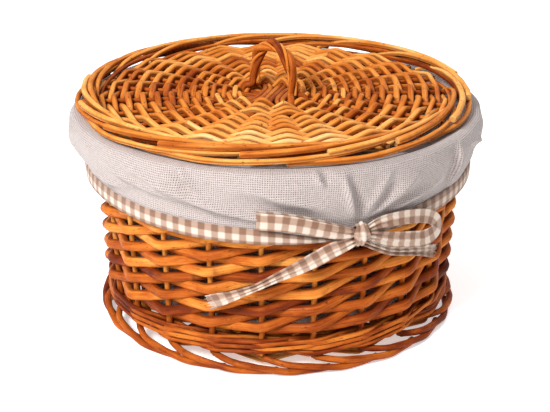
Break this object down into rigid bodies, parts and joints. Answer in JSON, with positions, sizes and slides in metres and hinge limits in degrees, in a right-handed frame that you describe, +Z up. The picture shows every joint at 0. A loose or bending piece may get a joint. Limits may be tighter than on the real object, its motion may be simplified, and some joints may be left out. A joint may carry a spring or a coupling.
{
  "type": "pie basket",
  "caption": "Round woven willow pie basket with a lift-off woven lid, a twisted lid handle and a cloth liner whose cuff turns down over the rim.",
  "frame": {"origin": "middle of the footprint, on the surface that the basket stands on", "axes": "+Z up; -Y towards the front, where the view is taken from; the ribbon's knot is at the front, right of the middle; +X to the right seen from the front"},
  "size_m": [0.314, 0.3166, 0.2145],
  "materials": {
    "honey_willow": "varnished",
    "brown_willow": "varnished",
    "straw_willow": "varnished",
    "natural_linen": "plain weave",
    "tan_check_cotton": "checked weave"
  },
  "bodies": {
    "basket": {"stake_01": "honey_willow", "stake_02": "honey_willow", "stake_03": "honey_willow", "stake_04": "honey_willow", "stake_05": "honey_willow", "stake_06": "honey_willow", "stake_07": "honey_willow", "stake_08": "honey_willow", "stake_09": "honey_willow", "stake_10": "honey_willow", "stake_11": "honey_willow", "stake_12": "honey_willow", "stake_13": "honey_willow", "stake_14": "honey_willow", "stake_15": "honey_willow", "stake_16": "honey_willow", "stake_17": "honey_willow", "stake_18": "honey_willow", "stake_19": "honey_willow", "stake_20": "honey_willow", "stake_21": "honey_willow", "stake_22": "honey_willow", "wall_weaver_01": "honey_willow", "wall_weaver_02": "brown_willow", "wall_weaver_03": "brown_willow", "wall_weaver_04": "honey_willow", "wall_weaver_05": "brown_willow", "wall_weaver_06": "brown_willow", "wall_weaver_07": "honey_willow", "wall_weaver_08": "brown_willow", "wall_weaver_09": "brown_willow", "wall_weaver_10": "honey_willow", "wall_weaver_11": "brown_willow", "wall_weaver_12": "brown_willow", "wall_weaver_13": "honey_willow", "wall_weaver_14": "brown_willow", "wall_weaver_15": "brown_willow", "wall_weaver_16": "honey_willow", "wall_weaver_17": "brown_willow", "wall_weaver_18": "brown_willow", "wall_weaver_19": "honey_willow", "wall_weaver_20": "brown_willow", "wall_weaver_21": "brown_willow", "wall_weaver_22": "honey_willow", "wale_rod_1": "straw_willow", "wale_rod_2": "straw_willow", "wale_rod_3": "straw_willow", "base_sticks": "honey_willow", "base_weaver_a": "straw_willow", "base_weaver_b": "straw_willow", "liner_bag": "natural_linen", "liner_cuff": "natural_linen", "hem_band": "tan_check_cotton", "tie_bow": "tan_check_cotton"},
    "lid": {"lid_sticks": "honey_willow", "lid_weaver_a": "straw_willow", "lid_weaver_b": "straw_willow", "lid_border": "honey_willow", "handle_strand_a": "brown_willow", "handle_strand_b": "brown_willow"}
  },
  "joints": [
    {"name": "lid_lift", "type": "slide", "parent": "basket", "child": "lid", "axis": [0, 0, 1], "range_m": [0, 0.2]}
  ]
}
